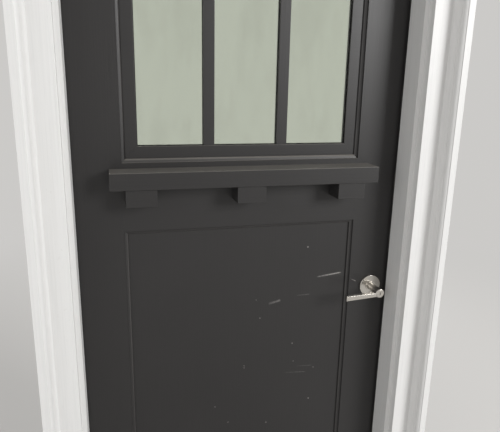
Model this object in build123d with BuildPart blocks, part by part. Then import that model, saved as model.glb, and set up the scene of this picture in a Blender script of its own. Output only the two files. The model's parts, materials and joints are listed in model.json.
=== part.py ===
"""Part-glazed entry door, hung in its frame, in millimetres.

X runs to the right as the door is seen from outside, Y runs inwards and Z up.
The outside face of the leaf lies in the plane Y = 0, and the sill stands on Z = 0.
"""

import os
from math import atan2, degrees, radians, sqrt, tan

from build123d import *

os.makedirs("parts", exist_ok=True)

# Leaf
leaf_width = 914.4
leaf_height = 2032.0
leaf_thick = 44.5
leaf_gap = 3.2
stile_width = 129.2
bottom_rail_height = 241.0
panel_height = 883.0
mid_rail_height = 181.0
top_rail_height = 130.0

# Moulded edge that runs round the panel and the glass
sticking_width = 10.0
recess_depth = 12.0
quirk_depth = 4.0
quirk_lean = 0.8
ledge_width = 4.6
ledge_fall = 1.2
hollow = 1.0
groove_depth = 12.0
panel_play = 1.0

# Glazing frame, bars and glass
glazing_setback = 11.0
glazing_face = 31.0
glazing_play = 0.2
mitre_gap = 0.1
bar_width = 29.5
bar_chamfer = 0.8
pane_thick = 3.0
pane_gap = 6.5
glass_cover = 13.0
glass_play = 1.0
spacer_width = 12.0
spacer_show = 2.0

# Shelf under the glass, and its blocks
shelf_overhang = 32.0
shelf_depth = 70.0
shelf_thick = 44.0
shelf_drop = 14.0
shelf_round = 1.5
block_width = 77.0
block_height = 44.5
block_depth = 65.0
block_inset = 37.5
block_round = 1.2

# Frame and weatherstrip
rabbet_depth = 12.7
jamb_web = 19.0
jamb_reach = 80.0
strip_room = 10.0
strip_clear = 0.3
strip_play = 0.5
strip_round = 2.0
kerf_width = 3.0
kerf_depth = 10.0
kerf_inset = 2.4
kerf_play = 0.2
fixing_radius = 2.6
fixing_head_radius = 5.0
fixing_height = 700.0
fixing_pitch = 850.0

# Outside casing: a flat board with a moulded band round its outer edge
casing_reveal = 12.7
board_width = 75.0
board_thick = 25.0
band_side = 13.0
band_lap = 22.4
band_rise = 42.0
band_flat = 18.3

# Sill
sill_nose = 112.0
sill_front_height = 12.0
sill_back_height = 22.0
deck_thick = 1.8
deck_lip = 9.0
rib_width = 3.0
rib_height = 0.8
rib_pitch = 18.0
cap_front = 8.0
cap_thick = 16.0
cap_chamfer = 3.0
sweep_room = 6.0
sweep_clear = 0.4
sweep_plate = 2.5
sweep_inset = 3.0
fin_thick = 1.6
fin_pitch = 14.0

# Butt hinges, on the inside
hinge_height = 101.6
hinge_leaf_width = 44.5
hinge_plate = 2.5
hinge_corner = 15.9
knuckle_radius = 6.35
knuckle_count = 5
knuckle_gap = 0.3
barrel_clear = 0.65
pin_radius = 3.95
pin_fit = 0.05
pin_head_radius = 5.5
pin_head_height = 4.0
pin_head_round = 1.5
mortise_play = 0.15
top_hinge_drop = 178.0
bottom_hinge_lift = 279.0
hinge_screw_rows = ((38.0, 14.0), (13.5, 26.0))

# Countersunk screws
screw_radius = 2.2
screw_head_radius = 4.2
screw_play = 0.1
jamb_screw_length = 17.0
leaf_screw_length = 26.0

# Latch
spindle_height = 912.0
backset = 60.3
cross_bore_radius = 27.0
edge_bore_radius = 12.7
case_play = 0.2
case_wall = 1.0
case_length = 80.0
bolt_throw = 12.7
bolt_width = 11.0
bolt_height = 19.0
bolt_head_length = 24.0
bolt_bevel = 9.5
bolt_bulge = 3.6
bolt_tip = 1.0
bolt_play = 0.4
yoke_thick = 6.0
yoke_height = 18.0
yoke_end = 2.6
faceplate_height = 57.2
faceplate_width = 25.4
faceplate_thick = 3.2
faceplate_corner = 6.0
plate_screw_pitch = 42.0
strike_thick = 1.6
strike_front = 10.0
strike_corner = 3.0
lip_height = 34.0
lip_radius = 6.0
lip_turn = 50.0
pocket_depth = 13.0
pocket_margin = 1.5

# Roses, levers and lock core
rose_radius = 33.5
rose_edge = 5.5
rose_thick = 8.5
rose_round = 1.5
collar_radius = 16.0
collar_top = 11.5
neck_radius = 11.0
neck_play = 0.4
neck_sink = 4.0
lever_reach = 70.0
boss_radius = 13.5
boss_length = 17.0
boss_flare = 3.0
boss_round = 2.2
arm_length = 106.0
arm_root_height = 12.5
arm_tip_height = 15.0
arm_thick = 11.5
arm_setback = 1.2
arm_drop = 4.0
arm_slope = 2.5
arm_round = 1.6
spindle_side = 8.0
spindle_reach = 25.0
spindle_play = 0.05
spindle_swing = 0.5
plug_radius = 7.0
plug_fit = 0.05
plug_length = 19.0
plug_proud = 0.6
plug_seat = 0.3
keyway_width = 2.2
keyway_height = 8.5
keyway_depth = 12.0
plug_chamfer = 0.4
tail_radius = 2.0
tail_play = 0.4
tail_grip = 8.0
button_width = 13.0
button_thick = 5.0
button_proud = 7.0
button_round = 1.2
rose_screw_pitch = 44.0
rose_screw_seat = 7.4
rose_screw_grip = 4.0

# Heights and half widths that follow from the sizes
sill_rise = sill_back_height + cap_thick + sweep_room
cap_top = sill_back_height + cap_thick
half_leaf = leaf_width / 2
mid_leaf = leaf_thick / 2
opening_edge = half_leaf - stile_width
leaf_top = sill_rise + leaf_height
panel_bottom = sill_rise + bottom_rail_height
panel_top = panel_bottom + panel_height
lite_bottom = panel_top + mid_rail_height
lite_top = leaf_top - top_rail_height
rabbet_x = half_leaf + leaf_gap
rabbet_z = leaf_top + leaf_gap
stop_x = rabbet_x - rabbet_depth
stop_z = rabbet_z - rabbet_depth
jamb_top = rabbet_z + jamb_web
casing_x = stop_x + casing_reveal
casing_z = stop_z + casing_reveal
casing_width = board_width + band_side
pivot_x = -half_leaf - leaf_gap / 2
pivot_y = leaf_thick + barrel_clear + knuckle_radius
hinge_low = sill_rise + bottom_hinge_lift + hinge_height / 2
hinge_high = leaf_top - top_hinge_drop - hinge_height / 2
hinge_centres = {
    "bottom": hinge_low,
    "middle": (hinge_low + hinge_high) / 2,
    "top": hinge_high,
}
spindle_x = half_leaf - backset
spindle_z = sill_rise + spindle_height

# How far the middle of a rounded corner stands in from its point, as a share of the radius
round_middle = 1 - sqrt(0.5)

# Sections of level pieces: the sketch's X is the world's Y, its Y the world's Z
LEVEL = Plane(origin=(0, 0, 0), x_dir=(0, 1, 0), z_dir=(1, 0, 0))

# Bores that start on their plane and go the way that it faces
OUTWARD = (Align.CENTER, Align.CENTER, Align.MIN)


def write_step(piece, name):
    """Label a finished piece and write it as one node."""
    piece.part.label = name
    export_step(piece.part, f"parts/{name}.step")


def outline(steps, place=lambda s, t: (s, t)):
    """Draw a closed outline in the current BuildLine.

    A step is a point, or a pair of points: one that an arc passes through, and its end.
    """
    here = place(*steps[0])
    start = here
    for step in steps[1:]:
        if isinstance(step[0], tuple):
            there = place(*step[1])
            ThreePointArc(here, place(*step[0]), there)
        else:
            there = place(*step)
            Line(here, there)
        here = there
    Line(here, start)


def turned(plane, steps):
    """Solid of revolution about a plane's Z axis, from steps of (radius, height)."""
    section = Plane(origin=plane.origin, x_dir=plane.x_dir, z_dir=-plane.y_dir)
    with BuildPart(mode=Mode.PRIVATE) as solid:
        with BuildSketch(section):
            with BuildLine():
                outline(steps)
            make_face()
        revolve(axis=Axis(plane.origin, plane.z_dir))
    return solid.part


def plate(x, thick, y_range, z_range, corner, rounded_ends=1):
    """Flat plate on the plane X = x, its low-Y corners rounded, or all four."""
    with BuildPart(mode=Mode.PRIVATE) as solid:
        with BuildSketch(Plane(origin=(x, 0, 0), x_dir=(0, 1, 0), z_dir=(1, 0, 0))) as face:
            with Locations((sum(y_range) / 2, sum(z_range) / 2)):
                Rectangle(y_range[1] - y_range[0], z_range[1] - z_range[0])
            for end in range(rounded_ends):
                fillet(face.vertices().group_by(Axis.X)[-end], corner)
        extrude(amount=thick)
    return solid.part


def mitre(x, z, normal):
    """Cutting plane of a mitre, through the corner (x, z)."""
    return Plane(origin=(x, 0, z), z_dir=normal)


def moulding(steps, place, plane, reach, cuts):
    """Straight length that runs reach each way from its plane; the part above each cut is kept."""
    with BuildPart() as member:
        with BuildSketch(plane):
            with BuildLine():
                outline(steps, place)
            make_face()
        extrude(amount=reach, both=True)
        for cut in cuts:
            split(bisect_by=cut, keep=Keep.TOP)
    return member


def cope_to_stops():
    """Cut the current piece back to the stops, where it runs in front of the rabbets."""
    beyond = -sill_nose - jamb_reach
    for side in (-1, 1):
        with Locations((side * (stop_x + rabbet_depth / 2), (beyond - strip_room) / 2, 0)):
            Box(rabbet_depth, -strip_room - beyond, 3 * jamb_top, mode=Mode.SUBTRACT)


# Screw and hole places, as planes that look out of the plate they go through
def hinge_screw_planes(centre, x, direction):
    """Four places on one hinge plate, in two rows of two."""
    return [
        Plane(origin=(x, y, centre + side * lift), z_dir=(direction, 0, 0))
        for lift, y in hinge_screw_rows
        for side in (-1, 1)
    ]


def latch_screw_planes(x, direction):
    """Two places above and below the bolt."""
    return [
        Plane(origin=(x, mid_leaf, spindle_z + side * plate_screw_pitch / 2), z_dir=(direction, 0, 0))
        for side in (-1, 1)
    ]


def fixing_planes(side):
    """Two places on a side jamb's rabbet, behind the leaf, for screws into the wall."""
    return [
        Plane(origin=(side * rabbet_x, mid_leaf, fixing_height + lift), z_dir=(-side, 0, 0))
        for lift in (0, fixing_pitch)
    ]


jamb_screws = [p for z in hinge_centres.values() for p in hinge_screw_planes(z, -rabbet_x, 1)]
leaf_screws = [p for z in hinge_centres.values() for p in hinge_screw_planes(z, -half_leaf, -1)]
strike_screws = latch_screw_planes(rabbet_x, -1)
faceplate_screws = latch_screw_planes(half_leaf, 1)


def hinge_plate_block(centre, x, thick, play):
    """Outline of a hinge plate, as the plate itself or as its mortise."""
    return plate(
        x,
        thick,
        (pivot_y - hinge_leaf_width - play, leaf_thick),
        (centre - hinge_height / 2 - play, centre + hinge_height / 2 + play),
        hinge_corner + play,
    )


def strike_block(thick, play):
    """Outline of the strike plate, as the plate itself or as its mortise."""
    half = faceplate_height / 2 + play
    z_range = (spindle_z - half, spindle_z + half)
    return plate(rabbet_x, thick, (strike_front - play, leaf_thick), z_range, strike_corner + play)


def faceplate_block(play):
    """Outline of the latch faceplate, as the plate itself or as its mortise."""
    half = faceplate_height / 2 + play
    wide = faceplate_width / 2 + play
    return plate(
        half_leaf,
        -faceplate_thick,
        (mid_leaf - wide, mid_leaf + wide),
        (spindle_z - half, spindle_z + half),
        faceplate_corner + play,
        rounded_ends=2,
    )


# Side jambs: a rabbet for the leaf, and a kerf in the stop for the weatherstrip
jamb_steps = [
    (rabbet_depth, -jamb_reach),
    (-jamb_web, -jamb_reach),
    (-jamb_web, leaf_thick),
    (0, leaf_thick),
    (0, -strip_room),
    (kerf_inset, -strip_room),
    (kerf_inset, -strip_room - kerf_depth),
    (kerf_inset + kerf_width, -strip_room - kerf_depth),
    (kerf_inset + kerf_width, -strip_room),
    (rabbet_depth, -strip_room),
]
hinge_mortises = [
    hinge_plate_block(centre, -rabbet_x, -hinge_plate, mortise_play) for centre in hinge_centres.values()
]
strike_mortise = strike_block(strike_thick, mortise_play)

with BuildPart() as hinge_jamb:
    with BuildSketch():
        with BuildLine():
            outline(jamb_steps, lambda s, y: (s - rabbet_x, y))
        make_face()
    extrude(amount=jamb_top)
    add(hinge_mortises, mode=Mode.SUBTRACT)
    with Locations(jamb_screws):
        Hole(screw_radius, jamb_screw_length + screw_play)
    with Locations(fixing_planes(-1)):
        CounterSinkHole(fixing_radius, fixing_head_radius, jamb_web)
write_step(hinge_jamb, "hinge_jamb")

with BuildPart() as latch_jamb:
    with BuildSketch():
        with BuildLine():
            outline(jamb_steps, lambda s, y: (rabbet_x - s, y))
        make_face()
    extrude(amount=jamb_top)
    add(strike_mortise, mode=Mode.SUBTRACT)
    with Locations((rabbet_x + pocket_depth / 2, mid_leaf, spindle_z)):
        Box(
            pocket_depth,
            bolt_width + 2 * pocket_margin,
            bolt_height + 2 * pocket_margin,
            mode=Mode.SUBTRACT,
        )
    with Locations(strike_screws):
        CounterSinkHole(screw_radius, screw_head_radius, jamb_screw_length + screw_play)
    with Locations(fixing_planes(1)):
        CounterSinkHole(fixing_radius, fixing_head_radius, jamb_web)
write_step(latch_jamb, "latch_jamb")

# Head jamb, coped over the stops of the side jambs
with BuildPart() as head_jamb:
    with BuildSketch(LEVEL):
        with BuildLine():
            outline(jamb_steps, lambda s, y: (y, rabbet_z - s))
        make_face()
    extrude(amount=rabbet_x, both=True)
    cope_to_stops()
write_step(head_jamb, "head_jamb")

# Casing: s runs outwards from the opening, y is the world's Y
board_front = -jamb_reach - board_thick
band_front = board_front - band_rise
band_inner = board_width - band_lap
band_edge = casing_width - band_flat


def on_band(across, up):
    """Point on the band's moulded side, in shares of its width and its rise."""
    return (band_inner + across * (band_edge - band_inner), board_front - up * band_rise)


board_steps = [
    (0, -jamb_reach),
    (0, board_front),
    (board_width, board_front),
    (board_width, -jamb_reach),
]
band_steps = [
    (board_width, -jamb_reach),
    (casing_width, -jamb_reach),
    (casing_width, band_front),
    on_band(1, 1),
    on_band(0.95, 0.96),
    (on_band(0.54, 0.82), on_band(0.44, 0.56)),
    on_band(0.38, 0.53),
    (on_band(0.27, 0.24), on_band(0, 0.02)),
    on_band(0, 0),
    (board_width, board_front),
]
for steps, name in ((board_steps, "casing_board"), (band_steps, "casing_band")):
    for side, hand in ((-1, "left"), (1, "right")):
        corner = mitre(side * casing_x, casing_z, (side, 0, -1))
        leg = moulding(
            steps,
            lambda s, y: (side * (casing_x + s), y),
            Plane.XY,
            casing_z + casing_width,
            [Plane.XY, corner],
        )
        write_step(leg, f"{name}_{hand}")
    corners = [mitre(side * casing_x, casing_z, (-side, 0, 1)) for side in (-1, 1)]
    head = moulding(
        steps,
        lambda s, y: (y, casing_z + s),
        LEVEL,
        casing_x + casing_width,
        corners,
    )
    write_step(head, f"{name}_head")

# Weatherstrip: a soft seal on the stop, its barb in the kerf
strip_face = rabbet_depth - strip_play
strip_steps = [
    (0, -strip_room),
    (0, -strip_clear),
    (strip_face - strip_round, -strip_clear),
    (
        (strip_face - round_middle * strip_round, -strip_clear - round_middle * strip_round),
        (strip_face, -strip_clear - strip_round),
    ),
    (strip_face, -strip_room),
    (kerf_inset + kerf_width - kerf_play, -strip_room),
    (kerf_inset + kerf_width - kerf_play, -strip_room - kerf_depth + kerf_play),
    (kerf_inset + kerf_play, -strip_room - kerf_depth + kerf_play),
    (kerf_inset + kerf_play, -strip_room),
]
for side, hand in ((-1, "left"), (1, "right")):
    with BuildPart() as strip:
        with BuildSketch(Plane.XY.offset(cap_top)):
            with BuildLine():
                outline(strip_steps, lambda s, y: (side * (rabbet_x - s), y))
            make_face()
        extrude(amount=rabbet_z - cap_top)
    write_step(strip, f"weatherstrip_{hand}")

with BuildPart() as strip_head:
    with BuildSketch(LEVEL):
        with BuildLine():
            outline(strip_steps, lambda s, y: (y, rabbet_z - s))
        make_face()
    extrude(amount=stop_x, both=True)
write_step(strip_head, "weatherstrip_head")

# Sill: a base, a sloped metal deck with ribs, and a cap under the leaf
deck_run = sill_nose - cap_front
deck_fall = sill_back_height - sill_front_height
deck_slope = degrees(atan2(deck_fall, deck_run))

with BuildPart() as sill_base:
    with BuildSketch(LEVEL):
        with BuildLine():
            Polyline(
                (-sill_nose, 0),
                (leaf_thick, 0),
                (leaf_thick, sill_back_height),
                (-cap_front, sill_back_height),
                (-sill_nose, sill_front_height),
                close=True,
            )
        make_face()
    extrude(amount=rabbet_x, both=True)
    cope_to_stops()
write_step(sill_base, "sill_base")

with BuildPart() as sill_deck:
    with BuildSketch(LEVEL):
        with BuildLine():
            Polyline(
                (-sill_nose, sill_front_height - deck_lip),
                (-sill_nose, sill_front_height),
                (-cap_front, sill_back_height),
                (-cap_front, sill_back_height + deck_thick),
                (-sill_nose - deck_thick, sill_front_height + deck_thick),
                (-sill_nose - deck_thick, sill_front_height - deck_lip),
                close=True,
            )
        make_face()
        for row in range(int(deck_run / rib_pitch)):
            back = cap_front + (row + 0.5) * rib_pitch
            level = sill_back_height + deck_thick - (back - cap_front) * deck_fall / deck_run
            with Locations((-back, level)):
                Rectangle(rib_width, 2 * rib_height, rotation=deck_slope)
    extrude(amount=stop_x, both=True)
write_step(sill_deck, "sill_deck")

with BuildPart() as sill_cap:
    with BuildSketch(LEVEL):
        with BuildLine():
            Polyline(
                (-cap_front, sill_back_height),
                (leaf_thick, sill_back_height),
                (leaf_thick, cap_top - cap_chamfer),
                (leaf_thick - cap_chamfer, cap_top),
                (-cap_front + cap_chamfer / 2, cap_top),
                (-cap_front, cap_top - cap_chamfer / 2),
                close=True,
            )
        make_face()
    extrude(amount=rabbet_x, both=True)
    cope_to_stops()
write_step(sill_cap, "sill_cap")

# Leaf: s runs from a member's edge towards the panel or the glass, y is the world's Y
groove_s = sticking_width - groove_depth
ledge_s = quirk_lean + ledge_width
ledge_depth = quirk_depth + ledge_fall
bend_s = (ledge_s + sticking_width) / 2 + hollow
bend_depth = (ledge_depth + recess_depth) / 2 - hollow
sticking_steps = [
    (0, 0),
    (quirk_lean, quirk_depth),
    (ledge_s, ledge_depth),
    ((bend_s, bend_depth), (sticking_width, recess_depth)),
    (groove_s, recess_depth),
    (groove_s, leaf_thick - recess_depth),
    (sticking_width, leaf_thick - recess_depth),
    ((bend_s, leaf_thick - bend_depth), (ledge_s, leaf_thick - ledge_depth)),
    (quirk_lean, leaf_thick - quirk_depth),
    (0, leaf_thick),
]


def member_steps(width):
    """Section of a stile or rail of that width, moulded and grooved on one edge."""
    return [(-width, 0)] + sticking_steps + [(-width, leaf_thick)]


leaf_mortises = [
    hinge_plate_block(centre, -half_leaf, hinge_plate, mortise_play) for centre in hinge_centres.values()
]
faceplate_mortise = faceplate_block(mortise_play)

with BuildPart() as hinge_stile:
    with BuildSketch(Plane.XY.offset(sill_rise)):
        with BuildLine():
            outline(member_steps(stile_width), lambda s, y: (s - opening_edge, y))
        make_face()
    extrude(amount=leaf_height)
    add(leaf_mortises, mode=Mode.SUBTRACT)
    with Locations(leaf_screws):
        Hole(screw_radius, leaf_screw_length + screw_play)

with BuildPart() as latch_stile:
    with BuildSketch(Plane.XY.offset(sill_rise)):
        with BuildLine():
            outline(member_steps(stile_width), lambda s, y: (opening_edge - s, y))
        make_face()
    extrude(amount=leaf_height)
    add(faceplate_mortise, mode=Mode.SUBTRACT)
    with Locations((spindle_x, mid_leaf, spindle_z)):
        Cylinder(cross_bore_radius, leaf_thick, rotation=(90, 0, 0), mode=Mode.SUBTRACT)
    with Locations((half_leaf, mid_leaf, spindle_z)):
        Cylinder(edge_bore_radius, 2 * backset, rotation=(0, 90, 0), mode=Mode.SUBTRACT)
    with Locations(faceplate_screws):
        Hole(screw_radius, leaf_screw_length + screw_play)
write_step(hinge_stile, "hinge_stile")
write_step(latch_stile, "latch_stile")


def rail(edges):
    """Level member, coped to the stiles, with stub tenons in their grooves.

    An edge is its width, the height it stands at and the way it faces, 1 for up.
    """
    with BuildPart() as member:
        with BuildSketch(LEVEL):
            for width, height, up in edges:
                with BuildLine():
                    outline(member_steps(width), lambda s, y: (y, height + up * s))
                make_face()
        extrude(amount=opening_edge - groove_s, both=True)
        add(hinge_stile.part, mode=Mode.SUBTRACT)
        add(latch_stile.part, mode=Mode.SUBTRACT)
    return member


write_step(rail([(bottom_rail_height, panel_bottom, 1)]), "bottom_rail")
write_step(rail([(mid_rail_height / 2, panel_top, -1), (mid_rail_height / 2, lite_bottom, 1)]), "mid_rail")
write_step(rail([(top_rail_height, lite_top, -1)]), "top_rail")

with BuildPart() as panel:
    with Locations((0, mid_leaf, (panel_bottom + panel_top) / 2)):
        Box(
            2 * (opening_edge - groove_s - panel_play),
            leaf_thick - 2 * recess_depth,
            panel_height - 2 * (groove_s + panel_play),
        )
write_step(panel, "panel")

# Glazing frame: an outside and an inside half, each of four mitred members in the leaf's groove
sight_s = sticking_width + glazing_face
sight_x = opening_edge - sight_s
sight_bottom = lite_bottom + sight_s
sight_top = lite_top - sight_s
pane_front = mid_leaf - pane_gap / 2 - pane_thick
glazing_steps = [
    (sticking_width + glazing_play, glazing_setback),
    (sight_s - bar_chamfer, glazing_setback),
    (sight_s, glazing_setback + bar_chamfer),
    (sight_s, pane_front),
    (sight_s - glass_cover - glass_play, pane_front),
    (sight_s - glass_cover - glass_play, mid_leaf),
    (groove_s + glazing_play, mid_leaf),
    (groove_s + glazing_play, recess_depth + glazing_play),
    (sticking_width + glazing_play, recess_depth + glazing_play),
]


def glazing_half(depth):
    """Half of the glazing frame; depth turns the section's y into the world's Y."""
    members = []
    for side in (-1, 1):
        cuts = [
            mitre(side * opening_edge, lite_bottom, (side, 0, 1)).offset(mitre_gap / 2),
            mitre(side * opening_edge, lite_top, (side, 0, -1)).offset(mitre_gap / 2),
        ]
        upright = moulding(
            glazing_steps,
            lambda s, y: (side * (opening_edge - s), depth(y)),
            Plane.XY.offset(lite_bottom),
            lite_top - lite_bottom + groove_depth,
            cuts,
        )
        members.append(upright.part)
    for up, height in ((1, lite_bottom), (-1, lite_top)):
        cuts = [
            mitre(side * opening_edge, height, (-side, 0, -up)).offset(mitre_gap / 2)
            for side in (-1, 1)
        ]
        level = moulding(
            glazing_steps,
            lambda s, y: (depth(y), height + up * s),
            LEVEL,
            opening_edge + groove_depth,
            cuts,
        )
        members.append(level.part)
    with BuildPart() as half:
        add(members)
    return half


def glazing_bars(depth):
    """Two upright bars that part the glass into three equal lites, chamfered like its frame."""
    bar_pitch = (2 * sight_x + bar_width) / 3
    bar_steps = [
        (0, glazing_setback + bar_chamfer),
        (bar_chamfer, glazing_setback),
        (bar_width - bar_chamfer, glazing_setback),
        (bar_width, glazing_setback + bar_chamfer),
        (bar_width, pane_front),
        (0, pane_front),
    ]
    with BuildPart() as bars:
        for side in (-1, 1):
            left = (side * bar_pitch - bar_width) / 2
            with BuildSketch(Plane.XY.offset(sight_bottom)):
                with BuildLine():
                    outline(bar_steps, lambda s, y: (left + s, depth(y)))
                make_face()
        extrude(amount=sight_top - sight_bottom)
    return bars


def from_outside(y):
    return y


def from_inside(y):
    return leaf_thick - y


for depth, name in ((from_outside, "outside"), (from_inside, "inside")):
    write_step(glazing_half(depth), f"glazing_frame_{name}")
    write_step(glazing_bars(depth), f"glazing_bars_{name}")

# Sealed glass: two panes on a spacer
pane_x = sight_x + glass_cover
pane_z = (sight_top - sight_bottom) / 2 + glass_cover
lite_middle = (sight_top + sight_bottom) / 2
for name, front in (("outside", pane_front), ("inside", mid_leaf + pane_gap / 2)):
    with BuildPart() as pane:
        with Locations((0, front + pane_thick / 2, lite_middle)):
            Box(2 * pane_x, pane_thick, 2 * pane_z)
    write_step(pane, f"glass_{name}")

with BuildPart() as spacer:
    with Locations((0, mid_leaf, lite_middle)):
        Box(
            2 * (sight_x - spacer_show + spacer_width),
            pane_gap,
            2 * (pane_z - glass_cover - spacer_show + spacer_width),
        )
        Box(
            2 * (sight_x - spacer_show),
            pane_gap,
            2 * (pane_z - glass_cover - spacer_show),
            mode=Mode.SUBTRACT,
        )
write_step(spacer, "glass_spacer")

# Shelf and blocks, fixed to the outside of the mid rail
shelf_top = lite_bottom - shelf_drop
shelf_bottom = shelf_top - shelf_thick
half_shelf = opening_edge + shelf_overhang
block_place = half_shelf - block_inset - block_width / 2
with BuildPart() as shelf:
    with Locations((0, -shelf_depth / 2, (shelf_top + shelf_bottom) / 2)):
        Box(2 * half_shelf, shelf_depth, shelf_thick)
    fillet(shelf.edges().filter_by_position(Axis.Y, -shelf_depth, -1), shelf_round)
write_step(shelf, "shelf")

for name, place in (("left", -1), ("middle", 0), ("right", 1)):
    with BuildPart() as block:
        with Locations((place * block_place, -block_depth / 2, shelf_bottom - block_height / 2)):
            Box(block_width, block_depth, block_height)
        front = block.faces().sort_by(Axis.Y)[0]
        fillet(front.edges(), block_round)
    write_step(block, f"shelf_block_{name}")

# Door sweep: a plate under the leaf with soft fins that reach down to the sill's cap
with BuildPart() as door_sweep:
    with BuildSketch(LEVEL):
        with Locations((mid_leaf, sill_rise - sweep_plate / 2)):
            Rectangle(leaf_thick - 2 * sweep_inset, sweep_plate)
        fin = sweep_room - sweep_clear
        with Locations((mid_leaf, sill_rise - fin / 2)):
            with GridLocations(fin_pitch, 0, 3, 1):
                Rectangle(fin_thick, fin)
    extrude(amount=half_leaf - sweep_inset, both=True)
write_step(door_sweep, "door_sweep")

# Hinges: each leaf is a plate with its own knuckles, and a pin drops through them all
slot = hinge_height / knuckle_count


def hinge_leaf(centre, x, thick, first_slot, holes):
    """Plate on the plane X = x with every other knuckle from first_slot up, bored for the pin."""
    block = hinge_plate_block(centre, x, thick, 0)
    with BuildPart() as leaf:
        add(block)
        for number in range(first_slot, knuckle_count, 2):
            low = centre - hinge_height / 2 + number * slot + knuckle_gap / 2
            with BuildSketch(Plane.XY.offset(low)):
                with Locations((pivot_x, pivot_y)):
                    Circle(knuckle_radius)
                with Locations((x + thick / 2, (leaf_thick + pivot_y) / 2)):
                    Rectangle(abs(thick), pivot_y - leaf_thick)
            extrude(amount=slot - knuckle_gap)
        with Locations((pivot_x, pivot_y, centre)):
            Cylinder(pin_radius + pin_fit, 2 * hinge_height, mode=Mode.SUBTRACT)
        with Locations(holes):
            CounterSinkHole(screw_radius, screw_head_radius, hinge_plate)
    return leaf


for name, centre in hinge_centres.items():
    jamb_holes = hinge_screw_planes(centre, -rabbet_x, 1)
    leaf_holes = hinge_screw_planes(centre, -half_leaf, -1)
    write_step(hinge_leaf(centre, -rabbet_x, -hinge_plate, 0, jamb_holes), f"hinge_jamb_plate_{name}")
    write_step(hinge_leaf(centre, -half_leaf, hinge_plate, 1, leaf_holes), f"hinge_leaf_plate_{name}")
    head_seat = centre + (hinge_height - knuckle_gap) / 2
    with BuildPart() as hinge_pin:
        add(
            turned(
                Plane(origin=(pivot_x, pivot_y, head_seat)),
                [
                    (0, knuckle_gap - hinge_height),
                    (pin_radius, knuckle_gap - hinge_height),
                    (pin_radius, 0),
                    (pin_head_radius, 0),
                    (pin_head_radius, pin_head_height - pin_head_round),
                    (pin_head_radius - pin_head_round, pin_head_height),
                    (0, pin_head_height),
                ],
            )
        )
    write_step(hinge_pin, f"hinge_pin_{name}")


def screw(length):
    """Countersunk screw that points down, its head flush with Z = 0."""
    head = screw_head_radius - screw_play
    shank = screw_radius - screw_play
    steps = [
        (0, 0),
        (head, 0),
        (shank, shank - head),
        (shank, 2 * shank - length),
        (0, -length),
    ]
    return turned(Plane.XY, steps)


for name, places, length in (
    ("hinge_jamb_screws", jamb_screws, jamb_screw_length),
    ("hinge_leaf_screws", leaf_screws, leaf_screw_length),
    ("strike_screws", strike_screws, jamb_screw_length),
    ("faceplate_screws", faceplate_screws, leaf_screw_length),
):
    one_screw = screw(length)
    with BuildPart() as screws:
        with Locations(places):
            add(one_screw)
    write_step(screws, name)

# Strike plate, with a lip that curls away from the opening
strike_plate_block = strike_block(strike_thick, 0)
with BuildPart() as strike_plate:
    add(strike_plate_block)
    with BuildSketch(Plane.XY.offset(spindle_z - lip_height / 2)):
        with BuildLine():
            outer = CenterArc((rabbet_x + lip_radius, leaf_thick), lip_radius, 180, -lip_turn)
            inner = CenterArc(
                (rabbet_x + lip_radius, leaf_thick), lip_radius - strike_thick, 180, -lip_turn
            )
            Line(outer @ 0, inner @ 0)
            Line(outer @ 1, inner @ 1)
        make_face()
    extrude(amount=lip_height)
    with Locations((rabbet_x, mid_leaf, spindle_z)):
        Box(
            4 * strike_thick,
            bolt_width + 2 * pocket_margin,
            bolt_height + 2 * pocket_margin,
            mode=Mode.SUBTRACT,
        )
    with Locations(strike_screws):
        CounterSinkHole(screw_radius, screw_head_radius, strike_thick)
write_step(strike_plate, "strike_plate")

# Latch in the leaf's edge: a faceplate, a tubular case and a sprung bolt with a yoke round the spindle
latch_front = half_leaf - faceplate_thick
case_radius = edge_bore_radius - case_play
swing_radius = spindle_side / sqrt(2) + spindle_swing
bolt_back = half_leaf + bolt_throw - bolt_head_length

faceplate_blank = faceplate_block(0)
with BuildPart() as latch_faceplate:
    add(faceplate_blank)
    with Locations((half_leaf, mid_leaf, spindle_z)):
        Box(
            4 * faceplate_thick,
            bolt_width + 2 * bolt_play,
            bolt_height + 2 * bolt_play,
            mode=Mode.SUBTRACT,
        )
    with Locations(faceplate_screws):
        CounterSinkHole(screw_radius, screw_head_radius, faceplate_thick)
write_step(latch_faceplate, "latch_faceplate")

with BuildPart() as latch_case:
    with BuildSketch(Plane(origin=(latch_front, mid_leaf, spindle_z), z_dir=(-1, 0, 0))):
        Circle(case_radius)
        Circle(case_radius - case_wall, mode=Mode.SUBTRACT)
    extrude(amount=case_length)
    with Locations((spindle_x, mid_leaf, spindle_z)):
        Cylinder(swing_radius, leaf_thick, rotation=(90, 0, 0), mode=Mode.SUBTRACT)
write_step(latch_case, "latch_case")

with BuildPart() as latch_bolt:
    tip = half_leaf + bolt_throw
    near = mid_leaf - bolt_width / 2
    far = mid_leaf + bolt_width / 2
    with BuildSketch(Plane.XY.offset(spindle_z - bolt_height / 2)):
        with BuildLine():
            outline(
                [
                    (bolt_back, near),
                    (tip - bolt_bevel, near),
                    ((tip - bolt_bulge, mid_leaf), (tip, far - bolt_tip)),
                    (tip, far),
                    (bolt_back, far),
                ]
            )
        make_face()
    extrude(amount=bolt_height)
    yoke_left = spindle_x - swing_radius - yoke_end
    with Locations(((yoke_left + bolt_back) / 2, mid_leaf, spindle_z)):
        Box(bolt_back - yoke_left, yoke_thick, yoke_height)
    with Locations((spindle_x + bolt_throw / 2, mid_leaf, spindle_z)):
        Box(
            2 * swing_radius + bolt_throw,
            2 * yoke_thick,
            2 * swing_radius,
            mode=Mode.SUBTRACT,
        )
write_step(latch_bolt, "latch_bolt")

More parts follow.
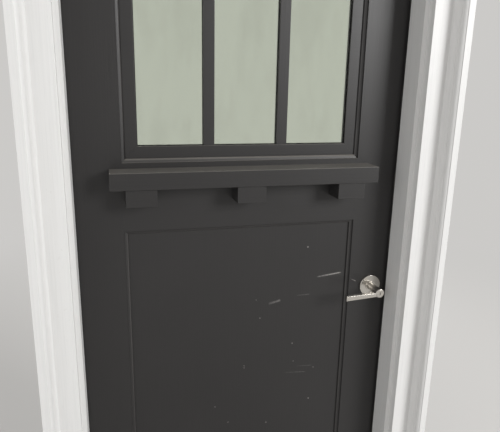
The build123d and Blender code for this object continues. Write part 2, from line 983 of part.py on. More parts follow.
# Roses and levers: planes that look out of the leaf on each side, with the arms towards the hinges
OUTSIDE = Plane(origin=(spindle_x, 0, spindle_z), x_dir=(1, 0, 0), z_dir=(0, -1, 0))
INSIDE = Plane(origin=(spindle_x, leaf_thick, spindle_z), x_dir=(-1, 0, 0), z_dir=(0, 1, 0))
rose_steps = [
    (neck_radius + neck_play, 0),
    (rose_radius, 0),
    (rose_radius, rose_edge),
    (
        (rose_radius - round_middle * rose_round, rose_edge + (1 - round_middle) * rose_round),
        (rose_radius - rose_round, rose_edge + rose_round),
    ),
    (collar_radius, rose_thick),
    (collar_radius, collar_top),
    (neck_radius + neck_play, collar_top),
]
neck_top = lever_reach - boss_length - boss_flare
lever_steps = [
    (0, -neck_sink),
    (neck_radius, -neck_sink),
    (neck_radius, neck_top),
    (boss_radius, neck_top + boss_flare),
    (boss_radius, lever_reach - boss_round),
    (
        (boss_radius - round_middle * boss_round, lever_reach - round_middle * boss_round),
        (boss_radius - boss_round, lever_reach),
    ),
    (0, lever_reach),
]
plug_floor = lever_reach + plug_proud - plug_length
plug_top = lever_reach + plug_proud
plug_steps = [
    (plug_radius, plug_floor),
    (plug_radius, plug_top - plug_chamfer),
    (plug_radius - plug_chamfer, plug_top),
    (0, plug_top),
]
rose_screw_places = [(0, side * rose_screw_pitch / 2) for side in (-1, 1)]
rose_screw = screw(rose_screw_seat + leaf_thick + rose_screw_grip)
rose_outside_blank = turned(OUTSIDE, rose_steps)
rose_inside_blank = turned(INSIDE, rose_steps)


def lever_arm(plane, along):
    """Flat arm, cut square at its tip; along is 1 or -1, the way it points on the plane."""
    fall = arm_length * tan(radians(arm_slope))
    with BuildPart() as arm:
        with BuildSketch(plane.offset(lever_reach - arm_setback - arm_thick)):
            with BuildLine():
                Polyline(
                    (0, -arm_drop + arm_root_height / 2),
                    (along * arm_length, -arm_drop - fall + arm_tip_height / 2),
                    (along * arm_length, -arm_drop - fall - arm_tip_height / 2),
                    (0, -arm_drop - arm_root_height / 2),
                    close=True,
                )
            make_face()
        extrude(amount=arm_thick)
        fillet(arm.edges().filter_by(Axis.Y, reverse=True), arm_round)
    return arm.part


with BuildPart() as rose_outside:
    add(rose_outside_blank)
    with Locations(OUTSIDE):
        with Locations(rose_screw_places):
            Cylinder(screw_radius, rose_screw_grip + screw_play, align=OUTWARD, mode=Mode.SUBTRACT)
write_step(rose_outside, "rose_outside")

with BuildPart() as rose_inside:
    add(rose_inside_blank)
    with Locations(INSIDE.offset(rose_screw_seat)):
        with Locations(rose_screw_places):
            CounterSinkHole(screw_radius, screw_head_radius, rose_screw_seat)
write_step(rose_inside, "rose_inside")

with BuildPart() as rose_screws:
    with Locations(INSIDE.offset(rose_screw_seat)):
        with Locations(rose_screw_places):
            add(rose_screw)
write_step(rose_screws, "rose_screws")

for name, plane, along in (("outside", OUTSIDE, -1), ("inside", INSIDE, 1)):
    shaft = turned(plane, lever_steps)
    arm = lever_arm(plane, along)
    socket = 2 * (spindle_side / 2 + spindle_play)
    with BuildPart() as lever:
        add(shaft)
        add(arm)
        with Locations(plane.offset(plug_floor - plug_seat)):
            Cylinder(plug_radius + plug_fit, plug_length, align=OUTWARD, mode=Mode.SUBTRACT)
            Hole(tail_radius + tail_play)
        with Locations(plane.offset(spindle_reach)):
            Box(
                socket,
                socket,
                spindle_reach + neck_sink,
                align=(Align.CENTER, Align.CENTER, Align.MAX),
                mode=Mode.SUBTRACT,
            )
    write_step(lever, f"lever_{name}")

with BuildPart() as spindle:
    with Locations((spindle_x, mid_leaf, spindle_z)):
        Box(spindle_side, leaf_thick + 2 * spindle_reach, spindle_side)
    with Locations(OUTSIDE):
        Hole(tail_radius + tail_play)
write_step(spindle, "spindle")

# Lock core: a plug with a keyway outside, a turn button inside, and a tail through the spindle
tail_end = -leaf_thick - plug_floor - tail_grip
plug_blank = turned(
    OUTSIDE, [(0, tail_end), (tail_radius, tail_end), (tail_radius, plug_floor)] + plug_steps
)
with BuildPart() as key_plug:
    add(plug_blank)
    with Locations(OUTSIDE.offset(plug_top - keyway_depth / 2)):
        Box(keyway_width, keyway_height, keyway_depth, mode=Mode.SUBTRACT)
write_step(key_plug, "key_plug")

hub_blank = turned(INSIDE, [(0, plug_floor)] + plug_steps)
with BuildPart() as turn_button:
    add(hub_blank)
    with BuildSketch(INSIDE.offset(plug_top)):
        SlotOverall(button_width, button_thick, rotation=90)
    extrude(amount=button_proud)
    fillet(turn_button.faces().sort_by(Axis.Y)[-1].edges(), button_round)
    with Locations(INSIDE.offset(plug_floor)):
        Cylinder(tail_radius + plug_fit, tail_grip, align=OUTWARD, mode=Mode.SUBTRACT)
write_step(turn_button, "turn_button")
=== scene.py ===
"""The part-glazed entry door in its frame, dressed in paint, metal, glass and a little wear."""

import json
import math

import bmesh
import bpy
from mathutils import Matrix, Vector

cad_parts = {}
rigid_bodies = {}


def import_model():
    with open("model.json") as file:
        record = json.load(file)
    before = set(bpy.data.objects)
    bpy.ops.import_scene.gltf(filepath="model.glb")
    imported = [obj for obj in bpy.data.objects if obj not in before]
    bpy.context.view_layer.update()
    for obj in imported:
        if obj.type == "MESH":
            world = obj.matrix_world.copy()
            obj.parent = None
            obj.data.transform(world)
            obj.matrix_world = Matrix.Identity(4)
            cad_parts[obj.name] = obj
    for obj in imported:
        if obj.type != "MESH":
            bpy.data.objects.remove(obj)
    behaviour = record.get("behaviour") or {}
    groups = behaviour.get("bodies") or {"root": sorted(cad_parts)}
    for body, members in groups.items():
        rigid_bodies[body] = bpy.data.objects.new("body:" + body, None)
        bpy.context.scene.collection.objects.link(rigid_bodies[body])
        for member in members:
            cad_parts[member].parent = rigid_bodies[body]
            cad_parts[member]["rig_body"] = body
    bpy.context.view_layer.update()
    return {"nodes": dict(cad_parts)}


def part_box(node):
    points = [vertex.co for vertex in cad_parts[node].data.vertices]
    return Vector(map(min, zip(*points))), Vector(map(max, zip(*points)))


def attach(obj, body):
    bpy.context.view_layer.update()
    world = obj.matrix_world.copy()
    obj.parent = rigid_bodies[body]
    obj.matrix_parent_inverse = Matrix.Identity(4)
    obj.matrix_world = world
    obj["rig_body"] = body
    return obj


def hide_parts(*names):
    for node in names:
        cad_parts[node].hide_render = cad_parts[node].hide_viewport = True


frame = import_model()
nodes = frame["nodes"]

# Places read from the frame, in metres
panel_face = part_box("panel")[0].y
spindle_low, spindle_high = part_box("spindle")
spindle = (spindle_low + spindle_high) / 2

# Colours, linear
DOOR_PAINT = (0.016, 0.0150, 0.0149)
DOOR_PAINT_WORN = (0.026, 0.0243, 0.0238)
# Pale colour of the door's rounded edges: rubbed wear, and a painted highlight along them
DOOR_EDGE_WEAR_AND_HIGHLIGHT = (0.095, 0.090, 0.086)
DOOR_CHIP = (0.46, 0.44, 0.42)
FRAME_PAINT = (0.80, 0.795, 0.785)
FRAME_PAINT_WORN = (0.69, 0.69, 0.68)
FRAME_GRIME = (0.44, 0.42, 0.38)
# Pale dust colour; on the door's upward faces it also stands for painted top light
DUST_AND_TOP_LIGHT = (0.34, 0.32, 0.29)
SEAL_BLACK = (0.012, 0.012, 0.012)
OAK_LIGHT = (0.34, 0.225, 0.13)
OAK_DARK = (0.19, 0.115, 0.062)
OAK_PORES = (0.08, 0.04, 0.02)
SPACER_BLACK = (0.010, 0.010, 0.010)
SPACER_GREY = (0.035, 0.035, 0.035)
ALUMINIUM = (0.62, 0.62, 0.61)
NICKEL = (0.62, 0.59, 0.545)
STEEL = (0.57, 0.56, 0.54)
SMUDGE = (0.20, 0.19, 0.17)
GLASS_TINT = (0.86, 0.895, 0.825)
GLASS_FILM = (0.79, 0.82, 0.755)
STUDIO = (1.0, 0.99, 0.975)
BACKDROP = (0.60, 0.59, 0.575)
FLOOR = (0.60, 0.59, 0.575)


class Value:
    """A socket of a finish's node tree, which takes part in arithmetic."""

    def __init__(self, finish, socket):
        self.finish = finish
        self.socket = socket

    def maths(self, operation, first, second=0.0):
        return self.finish.node("ShaderNodeMath", {"operation": operation}, {0: first, 1: second})

    def __add__(self, other):
        return self.maths("ADD", self, other)

    def __sub__(self, other):
        return self.maths("SUBTRACT", self, other)

    def __mul__(self, other):
        return self.maths("MULTIPLY", self, other)

    def __rsub__(self, other):
        return self.maths("SUBTRACT", other, self)

    __radd__ = __add__
    __rmul__ = __mul__

    def bigger(self, other):
        return self.maths("MAXIMUM", self, other)

    def size(self):
        return self.maths("ABSOLUTE", self)

    def root(self):
        return self.maths("SQRT", self)

    def step(self, low, high):
        """0 below low and 1 above high, with a soft change between; low may be the larger."""
        return self.finish.node(
            "ShaderNodeMapRange", {"interpolation_type": "SMOOTHSTEP"}, {0: self, 1: low, 2: high}
        )


# Shares of a mark on the leaf: a spot's firm middle; a stroke's strength where it starts, the firm
# middle of its width, and where its ends begin to fade, as a share of its length from the middle
SPOT_CORE = 0.5
STROKE_START = 0.4
STROKE_CORE = 0.2
STROKE_ENDS = 0.35

# How far a rounded edge faces away from all three axes, where it begins to show and where it is full
EDGE_TURN = (0.02, 0.20)


class Finish:
    """A material, or the world, whose nodes are written as expressions."""

    def __init__(self, name, made_in=bpy.data.materials):
        self.made = made_in.new(name)
        self.made.use_nodes = True
        self.tree = self.made.node_tree
        self.tree.nodes.clear()
        self.place = self.node("ShaderNodeTexCoord", {}, {}, "Object")
        self.facing = self.node("ShaderNodeTexCoord", {}, {}, "Normal")
        self.x, self.y, self.z = self.parts(self.place)

    def add(self, kind, settings, inputs):
        """Add a node: its settings, then the values or links of its sockets."""
        made = self.tree.nodes.new(kind)
        for name, value in settings.items():
            setattr(made, name, value)
        for name, value in inputs.items():
            socket = made.inputs[name]
            if isinstance(value, Value):
                self.tree.links.new(value.socket, socket)
            elif socket.type == "RGBA":
                socket.default_value = (*value, 1.0)
            else:
                socket.default_value = value
        return made

    def node(self, kind, settings, inputs, output=0):
        """Add a node and take one of its outputs."""
        return Value(self, self.add(kind, settings, inputs).outputs[output])

    def parts(self, vector):
        """The three parts of a vector."""
        split = self.add("ShaderNodeSeparateXYZ", {}, {0: vector})
        return [Value(self, socket) for socket in split.outputs]

    def noise(self, scale, detail=3.0, rough=0.55, place=None):
        """Noise from 0 to 1, with scale as the marks in a metre along each axis."""
        spread = self.node(
            "ShaderNodeVectorMath", {"operation": "MULTIPLY"}, {0: place or self.place, 1: scale}
        )
        return self.node(
            "ShaderNodeTexNoise",
            {},
            {"Vector": spread, "Scale": 1.0, "Detail": detail, "Roughness": rough},
        )

    def mix(self, share, first, second):
        """Colour that goes from first to second as share goes from 0 to 1, and no further."""
        settings = {"data_type": "RGBA", "clamp_factor": True}
        return self.node("ShaderNodeMix", settings, {0: share, 6: first, 7: second}, 2)

    def bump(self, height, depth):
        """Normal of a surface whose height goes from 0 to 1 over depth metres."""
        return self.node("ShaderNodeBump", {}, {"Height": height, "Distance": depth})

    def spot(self, centre, radius):
        """1 inside a round spot and 0 outside it."""
        away = self.node(
            "ShaderNodeVectorMath", {"operation": "DISTANCE"}, {0: self.place, 1: centre}, "Value"
        )
        return away.step(radius, radius * SPOT_CORE)

    def stroke(self, start, end, width, strength):
        """A stroke on the outside of the leaf that firms up from start to end, each (x, z)."""
        run = (end[0] - start[0], end[1] - start[1])
        length = math.hypot(*run)
        along = (self.x - start[0]) * (run[0] / length) + (self.z - start[1]) * (run[1] / length)
        across = (self.x - start[0]) * (run[1] / length) - (self.z - start[1]) * (run[0] / length)
        middle = (along - length / 2).size()
        firmer = along.step(0.0, length) * ((1 - STROKE_START) * strength) + STROKE_START * strength
        line = across.size().step(width, width * STROKE_CORE)
        return line * middle.step(length / 2, length * STROKE_ENDS) * firmer

    def edges(self):
        """1 on the rounded edges of square woodwork and 0 on its flat faces."""
        sides = [part.size() for part in self.parts(self.facing)]
        return (1 - sides[0].bigger(sides[1]).bigger(sides[2])).step(*EDGE_TURN)

    def seen(self):
        """1 for what is seen straight, in metal or through glass, and 0 for what lights the object."""
        paths = self.add("ShaderNodeLightPath", {}, {})
        kinds = ("Camera", "Glossy", "Transmission")
        camera, glossy, through = (Value(self, paths.outputs[f"Is {kind} Ray"]) for kind in kinds)
        return camera.bigger(glossy).bigger(through)

    def shader(self, **sockets):
        """The Principled shader; keywords name its sockets."""
        named = {name.replace("_", " "): value for name, value in sockets.items()}
        return self.node("ShaderNodeBsdfPrincipled", {}, named)

    def end(self, shader, kind="ShaderNodeOutputMaterial"):
        """Finish with a shader, for a material or for the world."""
        self.add(kind, {}, {"Surface": shader})
        return self.made

    def surface(self, **sockets):
        """Finish a material with the Principled shader."""
        return self.end(self.shader(**sockets))


# Marks per metre along x, y and z in each finish: fewest the way that a brush, die or grain went
BRUSHED_UPRIGHT = (260.0, 260.0, 5.0)
BRUSHED_LEVEL = (5.0, 260.0, 260.0)
ROLLED = (320.0, 320.0, 320.0)
DOOR_CLOUDS = (2.1, 2.1, 2.1)
DOOR_SPLASHES = (75.0, 75.0, 50.0)
MARK_CRUMBS = (700.0, 700.0, 700.0)
FRAME_CLOUDS = (1.7, 1.7, 1.7)
FRAME_SPECKLES = (150.0, 150.0, 60.0)
SEAL_SKIN = (900.0, 900.0, 240.0)
SEAL_DUST = (60.0, 60.0, 12.0)
OAK_BEND = (1.2, 9.0, 9.0)
OAK_PITS = (14.0, 900.0, 900.0)
DECK_DRAWN = (4.0, 1200.0, 1200.0)
DECK_DIRT = (22.0, 30.0, 30.0)
GLASS_SMEARS = (16.0, 16.0, 5.0)
SPACER_GRAIN = (400.0, 400.0, 400.0)
LEVER_BRUSHED = (30.0, 900.0, 900.0)
PLATE_BRUSHED = (900.0, 900.0, 30.0)
STEEL_GRAIN = (500.0, 500.0, 500.0)
METAL_HANDLED = (60.0, 60.0, 60.0)
ROSE_HANDLED = (55.0, 55.0, 55.0)

# Marks per metre of the rings on a spun piece: outwards from the spindle, then along their drift
ROSE_RINGS = (1500.0, 300.0, 300.0)

# How far those rings drift off round, as a share of the way across the piece
RING_DRIFT = 0.02

# Depths of relief, in metres
DOOR_RELIEF = 0.00024
FRAME_RELIEF = 0.00022
SEAL_RELIEF = 0.00012
OAK_RELIEF = 0.0002
DECK_RELIEF = 0.00005
BRUSHED_RELIEF = 0.000012
SPUN_RELIEF = 0.00015

# Heights above the ground, in metres, where splashed dirt ends and where it is full
DOOR_SPLASHED = (0.30, 0.03)
FRAME_SPLASHED = (0.55, 0.0)

# Depths behind the leaf's outside face, in metres, where its marks have ended and where they are full
MARKED_DEPTH = (0.020, 0.016)

# Streaks of grime are this share as fine as the strokes of the brush
STREAKS = 0.35

# Colour of a metal in its brush marks, as a share of its colour between them
BRUSH_SHADE = 0.6

# Roughness of a metal between its brush marks, and what the marks add to it
BRUSHED_ROUGH = (0.18, 0.14)
SPUN_ROUGH = (0.14, 0.12)


def door_paint(name, brushed, scuffs=(), specks=()):
    """Dark paint with a soft sheen: faint brush marks, roller stipple, dust with painted top light on
    ledges and upward faces, pale rounded edges that are partly wear and partly a painted highlight,
    pale marks.
    """
    paint = Finish(name)
    clouds = paint.noise(DOOR_CLOUDS, 4.0)
    strokes = paint.noise(brushed, 2.0)
    stipple = paint.noise(ROLLED, 1.0)
    upward = paint.parts(paint.facing)[2]
    # Upward faces go paler: partly dust, partly a painted top light, as if lit from above
    dust_and_top_light = upward.step(0.10, 0.80) * (0.30 + clouds * 0.5)
    splash = paint.z.step(*DOOR_SPLASHED) * paint.noise(DOOR_SPLASHES, 4.0).step(0.50, 0.80)
    colour = paint.mix(strokes * 0.35 + clouds * 0.45, DOOR_PAINT, DOOR_PAINT_WORN)
    # Rounded edges made paler: partly rubbed wear, partly a painted highlight
    colour = paint.mix(paint.edges() * clouds.step(0.35, 0.60) * 0.45, colour, DOOR_EDGE_WEAR_AND_HIGHLIGHT)
    # Dust and painted top light mixed into the upward faces
    colour = paint.mix(dust_and_top_light * 0.75, colour, DUST_AND_TOP_LIGHT)
    colour = paint.mix(splash * 0.12, colour, SMUDGE)
    marks = [paint.stroke(*scuff) for scuff in scuffs]
    marks += [paint.spot((x, panel_face, z), radius) for x, z, radius in specks]
    if marks:
        chips = marks[0]
        for mark in marks[1:]:
            chips = chips.bigger(mark)
        broken = paint.noise(MARK_CRUMBS, 2.0).step(0.30, 0.55)
        outside = paint.y.step(*MARKED_DEPTH)
        colour = paint.mix(chips * broken * outside * 0.85, colour, DOOR_CHIP)
    return paint.surface(
        Base_Color=colour,
        Roughness=0.36 + clouds * 0.10 + strokes * 0.05 + dust_and_top_light * 0.25,
        Normal=paint.bump(strokes * 0.7 + stipple * 0.3, DOOR_RELIEF),
    )


def frame_paint(name, brushed):
    """White satin paint over wood: brush marks along the board, and grime where rain splashes."""
    paint = Finish(name)
    clouds = paint.noise(FRAME_CLOUDS, 4.0)
    strokes = paint.noise(brushed, 3.0)
    streaks = paint.noise(tuple(STREAKS * along for along in brushed), 2.0)
    stipple = paint.noise(ROLLED, 1.0)
    low = paint.z.step(*FRAME_SPLASHED)
    grime = streaks.step(0.52, 0.78) * (0.16 + low * 0.5)
    speckle = paint.noise(FRAME_SPECKLES, 3.0).step(0.66, 0.74)
    lines = strokes.step(0.45, 0.70)
    colour = paint.mix(clouds * 0.35 + lines * 0.28, FRAME_PAINT, FRAME_PAINT_WORN)
    colour = paint.mix(grime * 0.35, colour, FRAME_GRIME)
    colour = paint.mix(speckle * (0.10 + low * 0.35), colour, FRAME_GRIME)
    return paint.surface(
        Base_Color=colour,
        Roughness=0.40 + clouds * 0.10 + grime * 0.2,
        Normal=paint.bump(strokes * 0.75 + stipple * 0.25, FRAME_RELIEF),
    )


def seal_rubber():
    """Soft black seal with a fine skin and a little dust."""
    seal = Finish("soft_black_seal")
    skin = seal.noise(SEAL_SKIN, 2.0)
    dust_and_top_light = seal.noise(SEAL_DUST, 3.0)
    return seal.surface(
        Base_Color=seal.mix(dust_and_top_light.step(0.5, 0.8) * 0.25, SEAL_BLACK, DUST_AND_TOP_LIGHT),
        Roughness=0.62 + skin * 0.2,
        Normal=seal.bump(skin, SEAL_RELIEF),
    )


def oak():
    """Oiled oak with its grain along the sill."""
    wood = Finish("oiled_oak")
    bend = wood.noise(OAK_BEND, 2.0)
    rings = wood.node(
        "ShaderNodeTexWave",
        {"wave_type": "BANDS", "bands_direction": "Y"},
        {"Vector": wood.place, "Scale": 46.0, "Distortion": bend * 9.0, "Detail": 2.0},
    )
    pores = wood.noise(OAK_PITS, 2.0).step(0.58, 0.70)
    colour = wood.mix(rings * 0.75, OAK_LIGHT, OAK_DARK)
    colour = wood.mix(pores * 0.7, colour, OAK_PORES)
    return wood.surface(
        Base_Color=colour,
        Roughness=0.48 + pores * 0.15,
        Normal=wood.bump(1 - pores, OAK_RELIEF),
    )


def ribbed_aluminium():
    """Mill-finished sill deck with fine drawn lines and random patches of dirt."""
    metal = Finish("mill_aluminium")
    drawn = metal.noise(DECK_DRAWN, 2.0)
    dirt = metal.noise(DECK_DIRT, 4.0).step(0.45, 0.75)
    return metal.surface(
        Base_Color=metal.mix(dirt * 0.30, ALUMINIUM, SMUDGE),
        Metallic=1.0 - dirt * 0.3,
        Roughness=0.36 + drawn * 0.10 + dirt * 0.15,
        Normal=metal.bump(drawn, DECK_RELIEF),
    )


def clear_glass():
    """Clear glass with the faint smears of its last cleaning."""
    glass = Finish("clear_glass")
    smears = glass.noise(GLASS_SMEARS, 3.0).step(0.40, 0.75)
    return glass.surface(
        Base_Color=glass.mix(smears * 0.5, GLASS_TINT, GLASS_FILM),
        Roughness=smears * 0.05,
        Transmission_Weight=1.0,
        IOR=1.45,
    )


def black_spacer():
    """Black edge spacer, just seen inside the glazing frame."""
    spacer = Finish("black_spacer")
    grain = spacer.noise(SPACER_GRAIN, 2.0)
    return spacer.surface(
        Base_Color=spacer.mix(grain * 0.4, SPACER_BLACK, SPACER_GREY),
        Roughness=0.55 + grain * 0.1,
    )


def handled_metal(metal, colour, brush, handled, roughness, relief):
    """Finish a metal that is duller and darker in its brush marks and where hands touch it."""
    smooth, rougher = roughness
    dull = handled.step(0.4, 0.8) * 0.2 + brush * 0.3
    return metal.surface(
        Base_Color=metal.mix(dull, colour, tuple(BRUSH_SHADE * part for part in colour)),
        Metallic=1.0,
        Roughness=smooth + brush * rougher + handled * 0.06,
        Normal=metal.bump(brush, relief),
    )


def satin_nickel(name, brushed, colour=NICKEL):
    """Nickel, or another metal by its colour, brushed in straight lines."""
    metal = Finish(name)
    brush = metal.noise(brushed, 2.0, 0.6)
    handled = metal.noise(METAL_HANDLED, 3.0)
    return handled_metal(metal, colour, brush, handled, BRUSHED_ROUGH, BRUSHED_RELIEF)


def spun_nickel(name):
    """Nickel brushed in rings about the spindle."""
    metal = Finish(name)
    across = metal.x - spindle.x
    up = metal.z - spindle.z
    radius = (across * across + up * up).root()
    drift = {0: radius, 1: across * RING_DRIFT, 2: up * RING_DRIFT}
    brush = metal.noise(ROSE_RINGS, 2.0, 0.6, metal.node("ShaderNodeCombineXYZ", {}, drift))
    handled = metal.noise(ROSE_HANDLED, 3.0)
    return handled_metal(metal, NICKEL, brush, handled, SPUN_ROUGH, SPUN_RELIEF)


# Marks seen on the outside of the leaf, in metres: scuffs are (start, end, width, strength), from one
# (x, z) to another, and specks are (x, z, radius)
PANEL_SCUFFS = (
    ((0.2251, 0.9911), (0.3090, 1.0003), 0.0030, 1.0),
    ((0.0768, 0.9179), (0.1170, 0.9269), 0.0050, 0.40),
    ((0.1358, 0.6817), (0.2089, 0.6751), 0.0016, 0.25),
    ((0.1745, 0.6991), (0.2280, 0.6954), 0.0014, 0.20),
    ((0.1639, 0.9370), (0.2086, 0.9377), 0.0022, 0.20),
)
STILE_SCRATCH = ((0.3346, 0.9802), (0.3518, 0.9722), 0.0014, 1.0)
PANEL_SPECKS = (
    (-0.041, 0.534, 0.0022),
    (0.082, 0.513, 0.0019),
    (0.221, 0.578, 0.0024),
    (0.158, 0.780, 0.0020),
    (0.007, 0.715, 0.0018),
    (-0.082, 0.594, 0.0017),
    (0.053, 0.875, 0.0018),
    (0.1945, 1.088, 0.0026),
    (0.040, 0.934, 0.0014),
    (0.164, 0.718, 0.0015),
    (0.232, 0.688, 0.0015),
    (0.007, 0.722, 0.0015),
)


# Points of a CAD mesh that lie this close, in metres, are one point
SAME_POINT = 0.00001

# Edges sharper than this, in degrees, are rounded, to these radii in metres
SHARP = 32
LEAF_EDGE = 0.0006
GLAZING_EDGE = 0.0005
SHELF_EDGE = 0.0008
JAMB_EDGE = 0.0008
CASING_EDGE = 0.0010
SILL_EDGE = 0.0008
DECK_EDGE = 0.0003


def soften(piece, width):
    """Round a CAD piece's sharp edges, as sanding and paint do."""
    weld = piece.modifiers.new("weld", "WELD")
    weld.merge_threshold = SAME_POINT
    round_edges = piece.modifiers.new("round_edges", "BEVEL")
    round_edges.width = width
    round_edges.segments = 2
    round_edges.limit_method = "ANGLE"
    round_edges.angle_limit = math.radians(SHARP)
    round_edges.harden_normals = False
    smooth = piece.modifiers.new("smooth", "WEIGHTED_NORMAL")
    smooth.keep_sharp = False


def dress(names, material, edge=0.0):
    """Give CAD nodes a finish, and rounded edges where edge isn't 0."""
    for name in names:
        for slot in nodes[name].material_slots:
            slot.material = material
        if edge:
            soften(nodes[name], edge)


def islands(node):
    """Lowest and highest corner of each separate solid in a node, in the order of its mesh."""
    mesh = bmesh.new()
    mesh.from_mesh(nodes[node].data)
    bmesh.ops.remove_doubles(mesh, verts=mesh.verts, dist=SAME_POINT)
    left = set(mesh.verts)
    boxes = []
    for first in mesh.verts:
        if first not in left:
            continue
        left.discard(first)
        found = [first]
        for vert in found:
            for edge in vert.link_edges:
                other = edge.other_vert(vert)
                if other in left:
                    left.discard(other)
                    found.append(other)
        corners = [vert.co.copy() for vert in found]
        low = Vector([min(corner[axis] for corner in corners) for axis in range(3)])
        high = Vector([max(corner[axis] for corner in corners) for axis in range(3)])
        boxes.append((low, high))
    mesh.free()
    return boxes


# Sides of a screw's round outline
SCREW_SIDES = 28

# A screw's shank and the cross recess in its head, in shares of the head's radius
SHANK = 0.52
ARM_REACH = 0.52
ARM_WIDTH = 0.13
RECESS_FLOOR = 0.45
RECESS_TAPER = 0.6

# Turn of each screw's cross from the one before it, in radians
SCREW_TURN = 0.7


def screw(mesh, seat, head, length):
    """Add a countersunk screw to mesh; seat puts its head's middle and its outward Z axis."""
    shank = SHANK * head
    steps = [(head, 0.0), (shank, head - shank), (shank, length)]
    rings = []
    for radius, depth in steps:
        ring = []
        for side in range(SCREW_SIDES):
            angle = 2 * math.pi * side / SCREW_SIDES
            point = Vector((radius * math.cos(angle), radius * math.sin(angle), -depth))
            ring.append(mesh.verts.new(seat @ point))
        rings.append(ring)
    for upper, lower in zip(rings, rings[1:]):
        for side in range(SCREW_SIDES):
            after = (side + 1) % SCREW_SIDES
            mesh.faces.new((upper[side], lower[side], lower[after], upper[after]))
    mesh.faces.new(rings[-1][::-1])
    corners = []
    for turn in range(4):
        quarter = Matrix.Rotation(turn * math.pi / 2, 3, "Z")
        for corner in ((ARM_REACH, -ARM_WIDTH), (ARM_REACH, ARM_WIDTH), (ARM_WIDTH, ARM_WIDTH)):
            corners.append(quarter @ Vector((corner[0] * head, corner[1] * head, 0.0)))
    mouth = [mesh.verts.new(seat @ corner) for corner in corners]
    sunk = Vector((0, 0, -RECESS_FLOOR * head))
    floor = [mesh.verts.new(seat @ (RECESS_TAPER * corner + sunk)) for corner in corners]
    edges = []
    for index, vert in enumerate(mouth):
        after = (index + 1) % len(mouth)
        mesh.faces.new((vert, mouth[after], floor[after], floor[index]))
        edges.append(mesh.edges.get((vert, mouth[after])))
    mesh.faces.new(floor)
    rim = rings[0]
    for side in range(SCREW_SIDES):
        edges.append(mesh.edges.get((rim[side], rim[(side + 1) % SCREW_SIDES])))
    bmesh.ops.triangle_fill(mesh, edges=edges, use_beauty=True)


def screws(node, outward, material):
    """Crosshead screws in place of a node's plain ones, facing the way outward points."""
    mesh = bmesh.new()
    axis = Vector(outward)
    turn = axis.to_track_quat("Z", "Y").to_matrix().to_4x4()
    for index, (low, high) in enumerate(islands(node)):
        size = high - low
        middle = (low + high) / 2
        reach = abs(size.dot(axis)) / 2
        across = min(size) / 2
        spin = Matrix.Rotation(SCREW_TURN * index, 4, "Z")
        screw(mesh, Matrix.Translation(middle + axis * reach) @ turn @ spin, across, 2 * reach)
    bmesh.ops.recalc_face_normals(mesh, faces=mesh.faces)
    data = bpy.data.meshes.new(f"{node}_crosshead")
    mesh.to_mesh(data)
    mesh.free()
    piece = bpy.data.objects.new(f"{node}_crosshead", data)
    bpy.context.scene.collection.objects.link(piece)
    data.materials.append(material)
    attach(piece, nodes[node]["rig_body"])
    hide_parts(node)


def paint_the_door():
    upright = door_paint("door_paint_upright", BRUSHED_UPRIGHT, (STILE_SCRATCH,))
    level = door_paint("door_paint_level", BRUSHED_LEVEL)
    rolled = door_paint("door_paint_panel", BRUSHED_UPRIGHT, PANEL_SCUFFS, PANEL_SPECKS)
    dress(["hinge_stile", "latch_stile"], upright, LEAF_EDGE)
    dress(["bottom_rail", "mid_rail", "top_rail"], level, LEAF_EDGE)
    dress(["panel"], rolled)
    dress(["glazing_frame_outside", "glazing_frame_inside"], level, GLAZING_EDGE)
    dress(["glazing_bars_outside", "glazing_bars_inside"], upright, GLAZING_EDGE)
    dress(["shelf", "shelf_block_left", "shelf_block_middle", "shelf_block_right"], level, SHELF_EDGE)


def paint_the_frame():
    upright = frame_paint("frame_paint_upright", BRUSHED_UPRIGHT)
    level = frame_paint("frame_paint_level", BRUSHED_LEVEL)
    dress(["hinge_jamb", "latch_jamb"], upright, JAMB_EDGE)
    dress(["head_jamb"], level, JAMB_EDGE)
    for hand in ("left", "right"):
        dress([f"casing_board_{hand}", f"casing_band_{hand}"], upright, CASING_EDGE)
    dress(["casing_board_head", "casing_band_head"], level, CASING_EDGE)


def fit_the_sill_and_seals():
    dress(["sill_base", "sill_cap"], oak(), SILL_EDGE)
    dress(["sill_deck"], ribbed_aluminium(), DECK_EDGE)
    dress(["weatherstrip_left", "weatherstrip_right", "weatherstrip_head", "door_sweep"], seal_rubber())


def glaze():
    dress(["glass_outside", "glass_inside"], clear_glass())
    dress(["glass_spacer"], black_spacer())


def fit_the_metal():
    lever = satin_nickel("satin_nickel_lever", LEVER_BRUSHED)
    plate = satin_nickel("satin_nickel_plate", PLATE_BRUSHED)
    steel = satin_nickel("plain_steel", STEEL_GRAIN, STEEL)
    spun = spun_nickel("satin_nickel_spun")
    dress(["lever_outside", "lever_inside"], lever)
    dress(["rose_outside", "rose_inside", "key_plug", "turn_button"], spun)
    for place in ("bottom", "middle", "top"):
        dress([f"hinge_jamb_plate_{place}", f"hinge_leaf_plate_{place}", f"hinge_pin_{place}"], plate)
    dress(["strike_plate", "latch_faceplate"], plate)
    dress(["latch_bolt", "latch_case", "spindle"], steel)
    screws("hinge_jamb_screws", (1, 0, 0), plate)
    screws("hinge_leaf_screws", (-1, 0, 0), plate)
    screws("strike_screws", (-1, 0, 0), plate)
    screws("faceplate_screws", (1, 0, 0), plate)
    screws("rose_screws", (0, 1, 0), spun)


WORLD_STRENGTH = 0.38

# Lamps: name, place, the point that each shines at, side in metres and power in watts
LAMPS = (
    ("key", (3.9, -4.6, 3.1), (0.1, 0.0, 1.0), 2.1, 262),
    ("fill", (-3.0, -2.6, 1.8), (0.0, 0.0, 1.1), 2.6, 32),
    ("back", (1.6, 3.6, 4.2), (0.0, 0.0, 1.1), 2.2, 140),
)


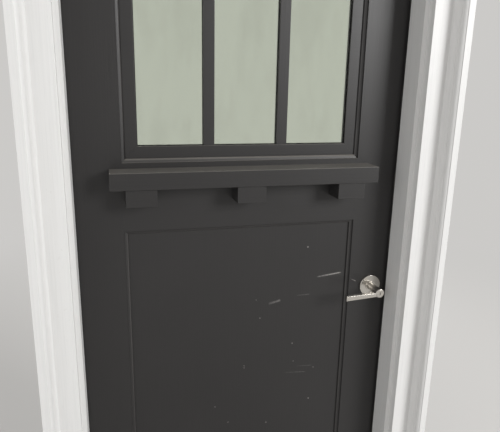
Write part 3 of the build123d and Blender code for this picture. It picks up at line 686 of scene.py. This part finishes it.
def lamp(name, place, aim, side, power):
    """A soft square lamp that shines from place towards aim, and isn't seen through the glass."""
    data = bpy.data.lights.new(name, "AREA")
    data.shape = "SQUARE"
    data.size = side
    data.energy = power
    holder = bpy.data.objects.new(name, data)
    holder.location = place
    holder.rotation_euler = (Vector(aim) - Vector(place)).to_track_quat("-Z", "Y").to_euler()
    holder.visible_transmission = False
    bpy.context.scene.collection.objects.link(holder)


def light_the_studio():
    """Even light all round, a soft lamp high on the right, and weaker ones on the left and behind."""
    world = Finish("studio", bpy.data.worlds)
    light = world.node("ShaderNodeBackground", {}, {"Color": STUDIO, "Strength": WORLD_STRENGTH})
    backdrop = world.node("ShaderNodeBackground", {}, {"Color": BACKDROP, "Strength": 1.0})
    both = world.node("ShaderNodeMixShader", {}, {0: world.seen(), 1: light, 2: backdrop})
    bpy.context.scene.world = world.end(both, "ShaderNodeOutputWorld")
    for settings in LAMPS:
        lamp(*settings)


# Floor, in metres: its half side, how far it lies under the sill, and where it fades
FLOOR_REACH = 14.0
FLOOR_GAP = 0.0005
FADE = (1.6, 4.2)


def lay_the_floor():
    """A wide pale floor, which turns into the backdrop away from the door."""
    floor = Finish("studio_floor")
    near = floor.shader(Base_Color=FLOOR, Roughness=0.9)
    far = floor.node("ShaderNodeEmission", {}, {"Color": BACKDROP})
    away = (floor.x * floor.x + floor.y * floor.y).root().step(*FADE)
    both = floor.node("ShaderNodeMixShader", {}, {0: away * floor.seen(), 1: near, 2: far})
    material = floor.end(both)
    mesh = bmesh.new()
    bmesh.ops.create_grid(mesh, x_segments=4, y_segments=4, size=FLOOR_REACH)
    data = bpy.data.meshes.new("floor")
    mesh.to_mesh(data)
    mesh.free()
    data.materials.append(material)
    plane = bpy.data.objects.new("floor", data)
    plane.location = (0, 0, -FLOOR_GAP)
    bpy.context.scene.collection.objects.link(plane)


# The photograph's camera: place and near limit in metres, turns in degrees, lens and width in mm
CAMERA_PLACE = (-0.358, -1.361, 1.568)
CAMERA_YAW = -15.24
CAMERA_PITCH = -14.85
CAMERA_ROLL = 1.17
CAMERA_LENS = 37.85
CAMERA_WIDTH = 36.0
CAMERA_NEAR = 0.05


def set_the_camera():
    data = bpy.data.cameras.new("camera")
    data.sensor_width = CAMERA_WIDTH
    data.lens = CAMERA_LENS
    data.clip_start = CAMERA_NEAR
    camera = bpy.data.objects.new("camera", data)
    camera.matrix_world = (
        Matrix.Translation(CAMERA_PLACE)
        @ Matrix.Rotation(math.radians(CAMERA_YAW), 4, "Z")
        @ Matrix.Rotation(math.radians(90 + CAMERA_PITCH), 4, "X")
        @ Matrix.Rotation(math.radians(CAMERA_ROLL), 4, "Z")
    )
    bpy.context.scene.collection.objects.link(camera)
    bpy.context.scene.camera = camera


paint_the_door()
paint_the_frame()
fit_the_sill_and_seals()
glaze()
fit_the_metal()
light_the_studio()
lay_the_floor()
set_the_camera()
bpy.context.scene.view_settings.view_transform = "Standard"
